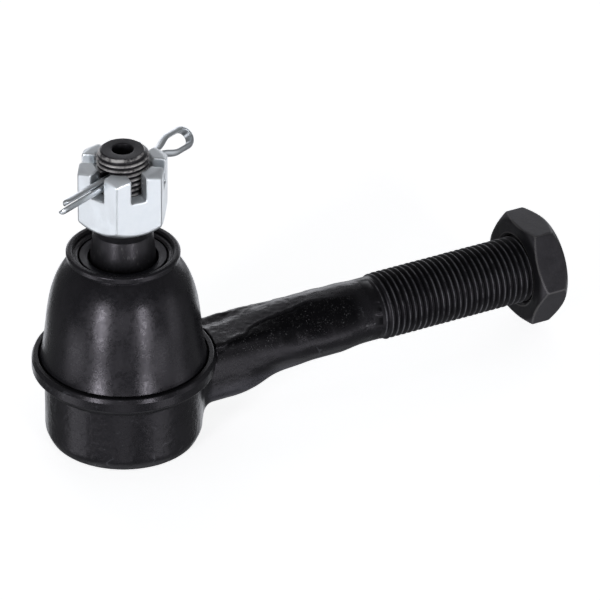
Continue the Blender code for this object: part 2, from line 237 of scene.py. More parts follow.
def lattice_noise(p, size, seed):
    """Smooth repeatable noise from -1 to 1 at points p, in mm, with cells of that size."""
    table = np.random.RandomState(seed).rand(32, 32, 32)
    q = np.asarray(p) / size + 512.0
    cell = np.floor(q).astype(int)
    t = q - cell
    t = t * t * (3 - 2 * t)
    total = 0.0
    for dx in (0, 1):
        for dy in (0, 1):
            for dz in (0, 1):
                w = (t[..., 0] if dx else 1 - t[..., 0]) * (t[..., 1] if dy else 1 - t[..., 1]) \
                    * (t[..., 2] if dz else 1 - t[..., 2])
                total = total + w * table[(cell[..., 0] + dx) % 32, (cell[..., 1] + dy) % 32,
                                          (cell[..., 2] + dz) % 32]
    return total * 2 - 1


# ------------------------------------------------- solids from distance fields

def soft_max(a, b, k):
    """The larger distance, with the edge where the two meet rounded over k mm."""
    h = np.maximum(k - np.abs(a - b), 0.0) / k
    return np.maximum(a, b) + h * h * k / 4


def soft_min(a, b, k):
    """The smaller distance, with the corner where the two meet filled over k mm."""
    return -soft_max(-a, -b, k)


def smooth_step(x, start, end):
    """0 up to start, 1 from end, and a smooth rise between them."""
    t = np.clip((x - start) / (end - start), 0.0, 1.0)
    return t * t * (3 - 2 * t)


def skin(field, low, high, step):
    """Quads over the zero surface of a distance field: surface nets, then points pulled onto it."""
    step = step * FINE
    axes = [np.arange(low[k] - 2 * step, high[k] + 2.5 * step, step) for k in range(3)]
    x, y, z = np.meshgrid(*axes, indexing="ij")
    f = np.empty(x.shape, np.float32)
    for i in range(0, x.shape[0], 24):
        f[i:i + 24] = field(x[i:i + 24], y[i:i + 24], z[i:i + 24])
    inside = f < 0
    corners = [(a, b, c) for a in (0, 1) for b in (0, 1) for c in (0, 1)]
    n = np.array(f.shape) - 1
    count = sum(inside[a:a + n[0], b:b + n[1], c:c + n[2]].astype(np.int8) for a, b, c in corners)
    cells = np.argwhere((count > 0) & (count < 8))
    index = np.full(tuple(n), -1, np.int64)
    index[tuple(cells.T)] = np.arange(len(cells))
    value = [f[tuple((cells + c).T)] for c in corners]
    total, hits = np.zeros((len(cells), 3)), np.zeros(len(cells))
    for i, a in enumerate(corners):
        for j, b in enumerate(corners):
            if i < j and sum(abs(p - q) for p, q in zip(a, b)) == 1:
                crossing = (value[i] < 0) != (value[j] < 0)
                gap = np.where(crossing, value[i] - value[j], 1.0)
                t = np.where(crossing, value[i] / gap, 0.0)
                point = np.array(a) + t[:, None] * (np.array(b) - np.array(a))
                total += point * crossing[:, None]
                hits += crossing
    origin = np.array([axis[0] for axis in axes])
    verts = origin + (cells + total / hits[:, None]) * step
    faces = []
    for axis in range(3):
        other = [k for k in range(3) if k != axis]
        ahead = np.zeros(3, int)
        ahead[axis] = 1
        size = np.array(f.shape) - ahead
        first = inside[:size[0], :size[1], :size[2]]
        second = inside[ahead[0]:, ahead[1]:, ahead[2]:]
        edges = np.argwhere(first != second)
        keep = (edges[:, other[0]] > 0) & (edges[:, other[1]] > 0) \
            & (edges[:, other[0]] < n[other[0]]) & (edges[:, other[1]] < n[other[1]])
        edges = edges[keep]
        outward = first[tuple(edges.T)]
        u, v = np.zeros(3, int), np.zeros(3, int)
        u[other[0]], v[other[1]] = 1, 1
        quad = np.stack([index[tuple((edges - a).T)] for a in (u + v, v, 0 * u, u)], 1)
        flip = outward if axis != 1 else ~outward
        quad[~flip] = quad[~flip][:, ::-1]
        faces.append(quad)
    faces = np.concatenate(faces)
    for _ in range(4):
        p = verts.T
        here = field(*p)
        e = 0.02
        slope = np.stack([(field(*(p + e * np.eye(3)[k][:, None]))
                           - field(*(p - e * np.eye(3)[k][:, None]))) / (2 * e) for k in range(3)], 1)
        move = here[:, None] * slope / np.maximum((slope ** 2).sum(1), 0.05)[:, None]
        length = np.linalg.norm(move, axis=1)
        verts = verts - move * np.minimum(1.0, 0.5 * step / np.maximum(length, 1e-9))[:, None]
    return verts, faces


def edge_measure(verts, faces):
    """How convex the surface is at each point, from its distance to its neighbours' mean."""
    faces = np.asarray(faces)
    pairs = np.concatenate([faces[:, [k, (k + 1) % 4]] for k in range(4)])
    total, hits = np.zeros_like(verts), np.zeros(len(verts))
    for a, b in ((0, 1), (1, 0)):
        np.add.at(total, pairs[:, a], verts[pairs[:, b]])
        np.add.at(hits, pairs[:, a], 1)
    lap = total / np.maximum(hits, 1)[:, None] - verts
    normal = np.zeros_like(verts)
    d1 = verts[faces[:, 2]] - verts[faces[:, 0]]
    d2 = verts[faces[:, 3]] - verts[faces[:, 1]]
    face_normal = np.cross(d1, d2)
    for k in range(4):
        np.add.at(normal, faces[:, k], face_normal)
    normal /= np.maximum(np.linalg.norm(normal, axis=1), 1e-12)[:, None]
    return -(lap * normal).sum(1)


# ------------------------------------------------------------------- threads

# Points along one pitch, closer together near the crest, and the thread's depth in pitches
PHASES = [-0.5, -0.43, -0.37, -0.24, -0.12, -0.078, -0.045, 0.0, 0.045, 0.078, 0.12, 0.24, 0.37, 0.43]
THREAD_DEEP = 0.6134


def thread_depth(phase, pitch):
    """How far a metric thread lies below its crest at each phase of the pitch."""
    p = np.abs(phase)
    flank = (p - 0.0625) * pitch / math.tan(math.radians(30.0))
    deep = THREAD_DEEP * pitch
    worn = soft_max(flank, 0.0, 0.06)
    return np.minimum(soft_min(worn, deep, 0.18), deep)


def threaded_bar(lead, start, end, pitch, radius_at, sides, tail):
    """Rings of (radius, height), then a thread from start to end, then more rings, all about Z."""
    sides = int(sides / FINE)
    turns = int(math.ceil((end - start) / pitch)) + 2
    rows = len(PHASES)
    base = np.concatenate([(k - 1 + np.array(PHASES)) * pitch for k in range(turns + 1)])
    phase = np.tile(np.array(PHASES), turns + 1)
    angle = np.arange(sides) * 2 * math.pi / sides
    z = np.clip(start + base[:, None] + pitch * angle[None, :] / (2 * math.pi), start, end)
    phase = np.repeat(phase[:, None], sides, 1)
    r = radius_at(z, phase)
    lead, tail = np.array(lead), np.array(tail)
    first = len(lead)
    r = np.concatenate([np.repeat(lead[:, :1], sides, 1), r, np.repeat(tail[:, :1], sides, 1)])
    z = np.concatenate([np.repeat(lead[:, 1:], sides, 1), z, np.repeat(tail[:, 1:], sides, 1)])
    count = len(r)
    verts = np.stack([r * np.cos(angle), r * np.sin(angle), z], -1).reshape(-1, 3)
    crest = np.zeros(r.shape)
    crest[first:first + len(base)] = 1.0 - np.clip(thread_depth(phase, pitch) / (THREAD_DEEP * pitch), 0, 1)
    faces = []
    last = first + len(base)
    for i in range(count - 1):
        for j in range(sides):
            a, b = i, i + 1
            if j < sides - 1:
                faces.append((a * sides + j, a * sides + j + 1, b * sides + j + 1, b * sides + j))
                continue
            shift_a = rows if first <= a < last else 0
            shift_b = rows if first <= b < last else 0
            a2 = min(a + shift_a, last - 1 if shift_a else a)
            b2 = min(b + shift_b, last - 1 if shift_b else b)
            faces.append((a * sides + j, a2 * sides, b2 * sides, b * sides + j))
    return verts, faces, crest.reshape(-1)


def roughen(verts, crest, amount, seed):
    """Nicks and waviness on the crests of a thread about Z."""
    out = np.hypot(verts[:, 0], verts[:, 1]) + 1e-6
    wave = 0.6 * lattice_noise(verts, 1.7, seed) + 0.8 * lattice_noise(verts, 0.6, seed + 1) - 0.3
    shift = amount * wave * smooth_step(crest, 0.3, 0.9)
    moved = verts.copy()
    moved[:, :2] *= (1.0 + shift / out)[:, None]
    return moved


def lay_on_x(verts):
    """Turn points about Z into points about the shank's axis."""
    verts = np.asarray(verts)
    return np.stack([verts[:, 2], verts[:, 1], BALL_Z - verts[:, 0]], -1)


def normals_of(verts, faces):
    """Unit normal at each point, from the quads round it."""
    faces = np.asarray(faces)
    normal = np.zeros_like(verts)
    across = np.cross(verts[faces[:, 2]] - verts[faces[:, 0]], verts[faces[:, 3]] - verts[faces[:, 1]])
    for k in range(4):
        np.add.at(normal, faces[:, k], across)
    return normal / np.maximum(np.linalg.norm(normal, axis=1), 1e-12)[:, None]


# ----------------------------------------------------------------- materials

class Look:
    """Builds one procedural material round a Principled shader, in mm object space."""

    def __init__(self, name, colour, roughness, metallic=0.0, **extra):
        self.mat = bpy.data.materials.new(name)
        self.mat.use_nodes = True
        self.tree = self.mat.node_tree
        self.shader = self.tree.nodes["Principled BSDF"]
        self.set("Base Color", (*colour, 1.0))
        self.set("Roughness", roughness)
        self.set("Metallic", metallic)
        for key, value in extra.items():
            self.set(key.replace("_", " "), value)
        if metallic < 0.5:
            self.set("Specular Tint", (1.0, 0.93, 1.0, 1.0))
        place = self.tree.nodes.new("ShaderNodeTexCoord")
        scale = self.tree.nodes.new("ShaderNodeVectorMath")
        scale.operation = "SCALE"
        scale.inputs["Scale"].default_value = 1000.0
        self.link(place.outputs["Object"], scale.inputs[0])
        self.mm = scale.outputs[0]

    def set(self, socket, value):
        self.shader.inputs[socket].default_value = value

    def link(self, out, socket):
        self.tree.links.new(out, socket)

    def feed(self, out, socket):
        self.link(out, self.shader.inputs[socket])

    def put(self, socket, value):
        if isinstance(value, bpy.types.NodeSocket):
            self.link(value, socket)
        elif isinstance(value, tuple) and len(value) == 3 and socket.type == "RGBA":
            socket.default_value = (*value, 1.0)
        else:
            socket.default_value = value

    def stretch(self, scale):
        node = self.tree.nodes.new("ShaderNodeMapping")
        node.inputs["Scale"].default_value = scale
        self.link(self.mm, node.inputs["Vector"])
        return node.outputs[0]

    def noise(self, per_mm, detail=3.0, rough=0.5, distortion=0.0, where=None):
        node = self.tree.nodes.new("ShaderNodeTexNoise")
        self.link(where or self.mm, node.inputs["Vector"])
        node.inputs["Scale"].default_value = per_mm
        node.inputs["Detail"].default_value = detail
        node.inputs["Roughness"].default_value = rough
        node.inputs["Distortion"].default_value = distortion
        return node.outputs["Fac"]

    def attribute(self, name):
        node = self.tree.nodes.new("ShaderNodeAttribute")
        node.attribute_name = name
        return node.outputs["Fac"]

    def span(self, value, low, high, to_low=0.0, to_high=1.0):
        node = self.tree.nodes.new("ShaderNodeMapRange")
        node.interpolation_type = "SMOOTHSTEP"
        for key, v in zip(("Value", "From Min", "From Max", "To Min", "To Max"),
                          (value, low, high, to_low, to_high)):
            self.put(node.inputs[key], v)
        return node.outputs["Result"]

    def math(self, operation, a, b=0.0):
        node = self.tree.nodes.new("ShaderNodeMath")
        node.operation = operation
        self.put(node.inputs[0], a)
        self.put(node.inputs[1], b)
        return node.outputs[0]

    def mix(self, factor, a, b):
        node = self.tree.nodes.new("ShaderNodeMix")
        node.data_type = "RGBA"
        self.put(node.inputs["Factor"], factor)
        self.put(node.inputs[6], a)
        self.put(node.inputs[7], b)
        return node.outputs[2]

    def bump(self, height, distance_mm, strength=1.0, below=None):
        node = self.tree.nodes.new("ShaderNodeBump")
        node.inputs["Strength"].default_value = strength
        node.inputs["Distance"].default_value = distance_mm * MM
        self.link(height, node.inputs["Height"])
        if below is not None:
            self.link(below, node.inputs["Normal"])
        return node.outputs[0]


def painted_look(name, hammer):
    """Satin black paint over a forging: orange peel, soft patches, dust and dried runs.

    Below the arm's crease the paint is darkened as a painted dark reflection and strewn with
    painted glints. The arm's underside is lightened in streaks as a painted reflection of the
    floor. Painted glints also mark a rough crust under the ring, and the ring's lower edge.
    """
    look = Look(name, (0.018, 0.018, 0.02), 0.4, 0.0, Specular_IOR_Level=0.4)
    painted_dark_band, painted_floor_reflection = look.attribute("painted_dark_band"), look.attribute("painted_floor_reflection")
    patches = look.noise(0.12, 4.0, 0.6)
    fine = look.noise(2.6, 3.0, 0.6)
    colour = look.mix(look.span(patches, 0.35, 0.7), (0.006, 0.006, 0.0072),
                      (0.0095, 0.0093, 0.0108))
    dust = look.span(look.noise(1.7, 2.0, 0.7), 0.69, 0.76)
    colour = look.mix(look.math("MULTIPLY", dust, 0.35), colour, (0.11, 0.108, 0.11))
    contour = look.math("ABSOLUTE", look.math("SUBTRACT", look.noise(0.11, 3.0, 0.55, 0.4), 0.5))
    run = look.math("MULTIPLY", look.span(contour, 0.0, 0.013, 1.0, 0.0),
                    look.span(look.noise(0.2, 3.0, 0.6), 0.5, 0.6))
    colour = look.mix(look.math("MULTIPLY", run, 0.75), colour, (0.05, 0.05, 0.055))
    # The arm's underside is lightened in streaks: a painted reflection of the floor.
    streak = look.noise(0.8, 3.0, 0.6, 0.0, look.stretch((0.35, 1.0, 2.4)))
    colour = look.mix(look.math("MULTIPLY", painted_floor_reflection, look.span(streak, 0.3, 0.7, 0.5, 1.0)), colour,
                      (0.06, 0.059, 0.067))
    # Below the crease the paint is darkened: a painted dark reflection.
    colour = look.mix(look.math("MULTIPLY", painted_dark_band, 0.75), colour, (0.0015, 0.0015, 0.0018))
    # Bright flecks in the darkened band: painted glints.
    painted_glint = look.math("MULTIPLY", look.span(look.noise(2.9, 2.0, 0.7), 0.6, 0.66),
                      look.span(painted_dark_band, 0.3, 0.9))
    painted_glint = look.math("MULTIPLY", painted_glint, look.span(look.noise(0.5, 2.0, 0.6), 0.4, 0.6))
    # Pale flecks along the crust under the ring: painted glints.
    crust_and_glint = look.math("MULTIPLY", look.attribute("crust_and_glint"),
                      look.span(look.noise(1.5, 4.0, 0.7), 0.5, 0.62))
    colour = look.mix(crust_and_glint, colour, (0.13, 0.128, 0.13))
    look.feed(look.mix(painted_glint, colour, (0.1, 0.098, 0.1)), "Base Color")
    look.feed(look.math("SUBTRACT", 0.4, look.math("MULTIPLY", painted_dark_band, 0.28)), "Specular IOR Level")
    rough = look.math("ADD", look.span(patches, 0.3, 0.7, 0.25, 0.32),
                      look.span(fine, 0.3, 0.7, -0.03, 0.05))
    look.feed(look.math("ADD", rough, look.math("MULTIPLY", dust, 0.2)), "Roughness")
    peel = look.bump(look.noise(1.1, 2.0, 0.45), 0.05 * hammer, 1.0)
    grain = look.bump(fine, 0.012, 1.0, peel)
    look.feed(grain, "Normal")
    return look.mat


def thread_look(name, base, worn, crest_from, crest_to, shine, grain, scuffed):
    """Dark thread whose crests are lightened, as rubbed wear and a painted highlight, with scratches along
    the bar.
    """
    look = Look(name, base, 0.42, 0.0, Specular_IOR_Level=shine)
    crest = look.attribute("crest")
    patch = look.noise(0.35, 4.0, 0.65)
    fine = look.noise(3.2, 3.0, 0.6)
    # Lighter crests, in the colour worn: rubbed wear and a painted highlight.
    rub_and_highlight = look.math("MULTIPLY", look.span(crest, crest_from, crest_to), look.span(patch, 0.34, 0.62))
    colour = look.mix(look.span(fine, 0.3, 0.75), base, tuple(1.5 * c for c in base))
    long = look.noise(2.2, 3.0, 0.65, 0.0, look.stretch(grain))
    scuff = look.math("MULTIPLY", look.span(long, 0.56, 0.72),
                      look.span(look.noise(0.3, 2.0, 0.6), 0.42, 0.62))
    colour = look.mix(look.math("MULTIPLY", scuff, scuffed), colour, tuple(0.3 * c for c in worn))
    look.feed(look.mix(rub_and_highlight, colour, worn), "Base Color")
    look.feed(look.math("ADD", look.span(fine, 0.3, 0.7, 0.3, 0.46),
                        look.math("MULTIPLY", rub_and_highlight, -0.08)), "Roughness")
    look.feed(look.bump(fine, 0.02, 1.0), "Normal")
    return look.mat


def rubber_look():
    """Moulded rubber: matt bloom in patches over a fine mottled grain."""
    look = Look("boot_rubber", (0.02, 0.02, 0.022), 0.42, 0.0, Specular_IOR_Level=0.55)
    cloud = look.noise(0.25, 5.0, 0.62, 0.3)
    mottle = look.noise(1.3, 4.0, 0.6)
    fine = look.noise(5.0, 2.0, 0.6)
    colour = look.mix(look.span(cloud, 0.35, 0.7), (0.006, 0.006, 0.0075), (0.009, 0.0088, 0.0105))
    colour = look.mix(look.span(mottle, 0.55, 0.8, 0.0, 0.35), colour, (0.014, 0.0135, 0.0155))
    look.feed(colour, "Base Color")
    look.feed(look.math("ADD", look.span(cloud, 0.3, 0.7, 0.24, 0.33),
                        look.span(mottle, 0.35, 0.7, -0.03, 0.07)), "Roughness")
    soft = look.bump(mottle, 0.022, 1.0)
    look.feed(look.bump(fine, 0.006, 1.0, soft), "Normal")
    return look.mat


def liner_look():
    """Smooth dark grey neck ring with faint clouding and a fine grain."""
    look = Look("neck_liner", (0.03, 0.031, 0.037), 0.34, 0.0)
    cloud = look.noise(0.5, 3.0, 0.55)
    colour = look.mix(look.span(cloud, 0.35, 0.7), (0.013, 0.0135, 0.0175), (0.019, 0.0195, 0.024))
    look.feed(colour, "Base Color")
    look.feed(look.span(look.noise(2.0, 3.0, 0.6), 0.3, 0.7, 0.28, 0.4), "Roughness")
    look.feed(look.bump(look.noise(1.5, 2.0, 0.5), 0.01, 1.0), "Normal")
    return look.mat


def zinc_look():
    """Bright bluish zinc: clouded plating, fine grain, small pits, and convex edges lightened as rubbed
    wear and a painted highlight.
    """
    look = Look("bright_zinc", (0.72, 0.76, 0.8), 0.3, 1.0)
    cloud = look.noise(0.3, 4.0, 0.6)
    fine = look.noise(4.0, 3.0, 0.65)
    edge = look.attribute("edge")
    colour = look.mix(look.span(cloud, 0.3, 0.7), (0.85, 0.885, 0.91), (0.9, 0.93, 0.95))
    pits = look.span(look.noise(1.6, 3.0, 0.7), 0.72, 0.8)
    colour = look.mix(look.math("MULTIPLY", pits, 0.06), colour, (0.6, 0.63, 0.68))
    # Lighter convex edges: rubbed wear and a painted highlight.
    look.feed(look.mix(look.span(edge, 0.35, 0.9, 0.0, 0.6), colour, (0.95, 0.97, 0.98)), "Base Color")
    look.feed(look.math("ADD", look.span(cloud, 0.3, 0.7, 0.34, 0.42),
                        look.span(fine, 0.3, 0.7, -0.03, 0.05)), "Roughness")
    # Upward faces are made less metallic so they show lighter: a painted highlight.
    upward_painted_light = look.attribute("upward_painted_light")
    look.feed(look.math("SUBTRACT", 1.0, look.math("MULTIPLY", upward_painted_light, 0.6)), "Metallic")
    rolled = look.bump(look.noise(0.7, 2.0, 0.5), 0.012, 1.0)
    look.feed(look.bump(fine, 0.004, 1.0, rolled), "Normal")
    return look.mat


def nut_look():
    """Black oxide on a machined nut: matt, fine grain, lighter and slightly browner on its edges as a
    painted highlight, and painted shade on its marked face.
    """
    look = Look("black_nut", (0.03, 0.03, 0.031), 0.45, 0.0, Specular_IOR_Level=0.6)
    cloud = look.noise(0.28, 4.0, 0.6)
    fine = look.noise(3.0, 4.0, 0.65)
    edge = look.attribute("edge")
    colour = look.mix(look.span(cloud, 0.35, 0.7), (0.014, 0.0138, 0.0155), (0.021, 0.0205, 0.0225))
    colour = look.mix(look.span(fine, 0.45, 0.75, 0.0, 0.6), colour, (0.036, 0.035, 0.038))
    # The jam nut's near face is darkened: painted shade.
    face = look.attribute("face")
    colour = look.mix(look.math("MULTIPLY", face, 0.7), colour, (0.003, 0.003, 0.0035))
    look.feed(look.math("SUBTRACT", 0.6, look.math("MULTIPLY", face, 0.4)), "Specular IOR Level")
    # Lighter, browner edges: a painted highlight.
    look.feed(look.mix(look.span(edge, 0.4, 0.95, 0.0, 0.5), colour, (0.13, 0.125, 0.12)), "Base Color")
    look.feed(look.math("ADD", look.span(cloud, 0.3, 0.7, 0.4, 0.48),
                        look.span(fine, 0.3, 0.7, -0.04, 0.07)), "Roughness")
    wavy = look.bump(look.noise(0.8, 2.0, 0.5), 0.04, 1.0)
    look.feed(look.bump(fine, 0.014, 1.0, wavy), "Normal")
    return look.mat


def plain_look(name, dark, light, rough, metallic, per_mm, grain_mm):
    """For the pieces inside the joint: two tones, uneven gloss and a light grain."""
    look = Look(name, dark, rough, metallic)
    cloud = look.noise(per_mm, 4.0, 0.6)
    look.feed(look.mix(look.span(cloud, 0.35, 0.7), dark, light), "Base Color")
    uneven = look.noise(per_mm * 4, 3.0, 0.6)
    look.feed(look.span(uneven, 0.3, 0.7, rough - 0.06, rough + 0.08), "Roughness")
    look.feed(look.bump(look.noise(per_mm * 8, 3.0, 0.6), grain_mm, 1.0), "Normal")
    return look.mat


PAINT = painted_look("painted_forging", 1.0)
RING_PAINT = painted_look("painted_ring", 0.5)
COVER_STEEL = painted_look("painted_cover", 0.6)
# The crest colours stand for rubbed wear and a painted highlight.
SHANK = thread_look("painted_thread", (0.0045, 0.0045, 0.0053), (0.1, 0.098, 0.104), 0.8, 1.0, 0.3,
                   (0.25, 1.0, 1.0), 0.08)
STUD = thread_look("phosphated_steel", (0.013, 0.0127, 0.014), (0.7, 0.67, 0.65), 0.35, 0.85, 0.45,
                  (1.0, 1.0, 0.22), 0.35)
RUBBER = rubber_look()
LINER = liner_look()
ZINC = zinc_look()
NUT = nut_look()
ACETAL = plain_look("acetal", (0.72, 0.71, 0.66), (0.8, 0.79, 0.74), 0.42, 0.0, 0.3, 0.01)
SPRING = plain_look("spring_steel", (0.24, 0.235, 0.23), (0.34, 0.33, 0.32), 0.36, 1.0, 0.5, 0.01)


# -------------------------------------------------------------------- pieces

def cup_field(x, y, z):
    """Round cup with a chamfered foot, a shoulder under the ring and a narrower lip above it."""
    rise, run = 2.2, 1.03
    shoulder_z, lip_r, lip_top = 17.3, 16.4, 21.0
    r = np.hypot(x, y)
    chamfer = ((r - HOUSING_R) * rise - (z - rise) * run) / math.hypot(rise, run)
    low = soft_max(soft_max(r - HOUSING_R, -z, 0.3), chamfer, 0.35)
    low = soft_max(low, z - shoulder_z, 0.4)
    high = np.maximum(soft_max(r - lip_r, z - lip_top, 0.6), 10.0 - z)
    return np.minimum(low, high)


def cavity_field(x, y, z):
    """The hollow inside the cup: the stud's mouth, the ball chamber, and the cover's seat."""
    mouth_r, chamber_r, groove_r, opening_r = 10.8, 14.7, 15.5, 13.9
    r = np.hypot(x, y)
    cone = (r - chamber_r) + (z - 17.2) * (3.9 / 2.7)
    chamber = np.maximum(np.maximum(r - chamber_r, cone * 0.57), 1.5 - z)
    groove = np.maximum(np.maximum(r - groove_r, z - 3.2), 1.0 - z)
    opening = np.maximum(r - opening_r, z - 4.0)
    return np.minimum(np.minimum(r - mouth_r, chamber), np.minimum(groove, opening))


def arm_field(x, y, z):
    """Rounded box with bevelled lower corners at the housing, round at the shank."""
    blend = smooth_step(x, *ARM_BLEND)
    neck = smooth_step(x, *NECKING)
    up = z - BALL_Z
    reach = np.hypot(y, up) + 1e-6
    c, s = np.abs(y) / reach, up / reach
    bevel = c * math.cos(ARM_BEVEL_ANGLE) - s * math.sin(ARM_BEVEL_ANGLE)
    total = 0.0
    for part in (c / ARM_SIDE, s / ARM_ABOVE, -s / ARM_BELOW, bevel / ARM_BEVEL):
        total = total + np.maximum(part, 0.0) ** ARM_SHARPNESS
    flat = total ** (-1.0 / ARM_SHARPNESS)
    turned = ROUND_R - 0.5 * np.maximum(s, 0.0) * (1.0 - neck)
    radius = flat + (turned + (PLAIN_R - turned) * neck - flat) * blend
    radius = radius - 0.5 * smooth_step(x, 61.0, 64.0)
    # drawn in underneath just behind the housing, and over the +Y shoulder beside it
    waist = 0.25 * (1.0 - smooth_step(x, 39.0, 45.0)) + 0.6 * np.exp(-((x - 36.5) / 4.0) ** 2)
    corner = np.exp(-((np.degrees(np.arctan2(up, y)) - 52.0) / 18.0) ** 2)
    radius = radius - waist * smooth_step(-s, 0.3, 0.8)
    radius = radius - 1.1 * corner * (1.0 - smooth_step(x, 25.0, 33.0))
    body = (reach - radius) * np.minimum(1.0, 8.0 / radius)
    return soft_max(soft_max(body, x - 63.5, 0.3), 12.0 - x, 0.3)


def housing_field(x, y, z):
    """Cup and arm run together, less the boot ring's seat and the hollow."""
    r = np.hypot(x, y)
    solid = soft_min(cup_field(x, y, z), arm_field(x, y, z), 3.0)
    ring_zone = np.maximum(np.maximum(r - RING_R - 0.12, RING_LOW - 0.1 - z), HOUSING_R - r)
    solid = soft_max(solid, -ring_zone, 0.25)
    solid = soft_max(solid, -z, 0.3)
    return soft_max(solid, -cavity_field(x, y, z), 0.25)


def build_housing():
    """The forging, with its creased and hammered arm, and the threaded shank."""
    verts, faces = skin(housing_field, (-18.4, -18.4, 0.0), (63.6, 18.4, 23.4), 0.36)
    normal = normals_of(verts, faces)
    x, y, z = verts.T
    on_arm = smooth_step(np.hypot(x, y), 18.6, 21.0) * (1 - smooth_step(x, 56.0, 60.0))
    upper = smooth_step(z, 14.0, 19.0)
    wave = 0.10 * lattice_noise(verts, 3.4, 3) + 0.05 * lattice_noise(verts, 1.5, 4)
    turn = np.degrees(np.arctan2(z - BALL_Z, np.abs(y)))
    climb = np.where(y < 0.0, 45.0, 20.0)
    crease = 30.0 + climb * smooth_step(x, 16.0, 42.0) - 5.0 * smooth_step(x, 48.0, 58.0) \
        + 5.0 * lattice_noise(verts, 2.2, 5) + 2.5 * lattice_noise(verts, 0.9, 6)
    past = (turn - crease) / 57.3 * 7.6  # mm above the forging crease, round the arm
    fading = on_arm * (1.0 - 0.75 * smooth_step(x, 40.0, 56.0))
    hammer = 0.06 * lattice_noise(verts, 0.75, 7) * smooth_step(past, 0.0, 0.8)
    ridge = 0.12 * np.exp(-((past - 0.35) / 0.4) ** 2) - 0.13 * np.exp(-((past + 0.45) / 0.45) ** 2)
    # Mask for the paint darkened below the crease as a painted dark reflection, with painted glints.
    painted_dark_band = on_arm * smooth_step(past, 0.1, -0.3) * smooth_step(turn, 0.0, 22.0)
    low_turn = smooth_step(turn, -30.0, -48.0) * smooth_step(turn, -80.0, -62.0)
    r = np.hypot(x, y)
    # Crust under the ring: real bumps here, and painted glints in the material.
    crust_and_glint = np.exp(-((z - 15.75) / 0.32) ** 2) * smooth_step(r, 17.6, 17.9) * (1.0 - on_arm)
    grain = 0.03 * lattice_noise(verts, 0.7, 8) * (1.0 - on_arm) * smooth_step(r, 17.0, 17.8) \
        + crust_and_glint * (0.05 + 0.09 * lattice_noise(verts, 0.9, 9))
    raised = wave * on_arm * (0.35 + 0.65 * upper) + fading * (ridge + hammer) + grain
    verts = verts + normal * raised[:, None]
    forging = make_object("housing_forging", verts, faces, "housing_body", "housing",
                          PAINT)
    float_attribute(forging, "painted_dark_band", painted_dark_band)
    float_attribute(forging, "crust_and_glint", crust_and_glint)
    # The arm's lower side, lightened in the material as a painted reflection of the floor.
    float_attribute(forging, "painted_floor_reflection", on_arm * low_turn * (1.0 - 0.6 * smooth_step(x, 38.0, 50.0)))
    clean(forging)

    def radius_at(z, phase):
        full = SHANK_R - thread_depth(phase, SHANK_PITCH)
        grown = PLAIN_R + (full - PLAIN_R) * smooth_step(z, 64.6, 66.2)
        chamfer = 6.75 + (SHANK_END - z) * 1.15
        return soft_min(grown, chamfer, 0.08)

    lead = [(0.0, 58.0), (7.0, 58.0), (7.3, 59.5), (7.45, 60.5), (PLAIN_R, 61.5),
            (PLAIN_R, THREAD_START)]
    verts, faces, crest = threaded_bar(lead, THREAD_START, SHANK_END, SHANK_PITCH, radius_at, 96,
                                       [(6.6, SHANK_END), (3.0, SHANK_END), (0.0, SHANK_END)])
    verts = roughen(verts, crest, 0.035, 31)
    shank = make_object("threaded_shank", lay_on_x(verts), faces, "housing_body", "housing",
                        SHANK)
    float_attribute(shank, "crest", crest)
    clean(shank)


def build_cover():
    """Disc that closes the housing from below."""
    outline = fillet([(0.0, 0.25, 0), (10.5, 0.25, 0.6), (11.2, 0.0, 0.5), (13.5, 0.0, 0.35),
                      (13.5, 1.3, 0.1), (15.2, 1.3, 0.25), (15.2, 2.9, 0.3), (12.3, 2.9, 0.2),
                      (11.5, 2.2, 0.2), (0.0, 2.2, 0)])
    verts, faces = lathe(outline, 128)
    cover = make_object("end_cover_disc", verts, faces, "housing_body", "end_cover",
                        COVER_STEEL)
    clean(cover)


def build_ring():
    """Steel ring that holds the boot's foot, with a rough lower edge."""
    corners = fillet([(18.4, RING_LOW, 0.2), (19.5, RING_LOW, 0.35), (RING_R, 17.95, 0.7),
                      (RING_R, 20.15, 0.5), (20.6, RING_TOP, 0.35), (19.45, RING_TOP, 0.3),
                      (19.45, 17.6, 0.15), (18.4, 17.6, 0.15)])
    outline = []
    for a, b in zip(corners, corners[1:] + corners[:1]):
        parts = max(1, int(math.dist(a, b) / 0.35))
        a, b = np.array(a), np.array(b)
        outline += [tuple(a + (b - a) * k / parts) for k in range(parts)]

    def ripple(r, z, turn):
        p = np.stack([r * np.cos(turn), r * np.sin(turn), z], -1)
        rough = (1 - smooth_step(z, 16.6, 17.9)) * smooth_step(r, 18.8, 19.6)
        return r + rough * (0.09 * lattice_noise(p, 0.9, 11) + 0.07 * lattice_noise(p, 2.6, 12)), z

    verts, faces = lathe(outline, 300, ripple)
    ring = make_object("boot_retaining_ring_steel", verts, faces, "housing_body", "boot_retaining_ring",
                       RING_PAINT)
    # The ring's rough lower edge is darkened as painted shade, with painted glints.
    float_attribute(ring, "painted_dark_band", 0.6 * (1.0 - smooth_step(np.asarray(verts)[:, 2], 16.7, 17.3)))
    clean(ring)


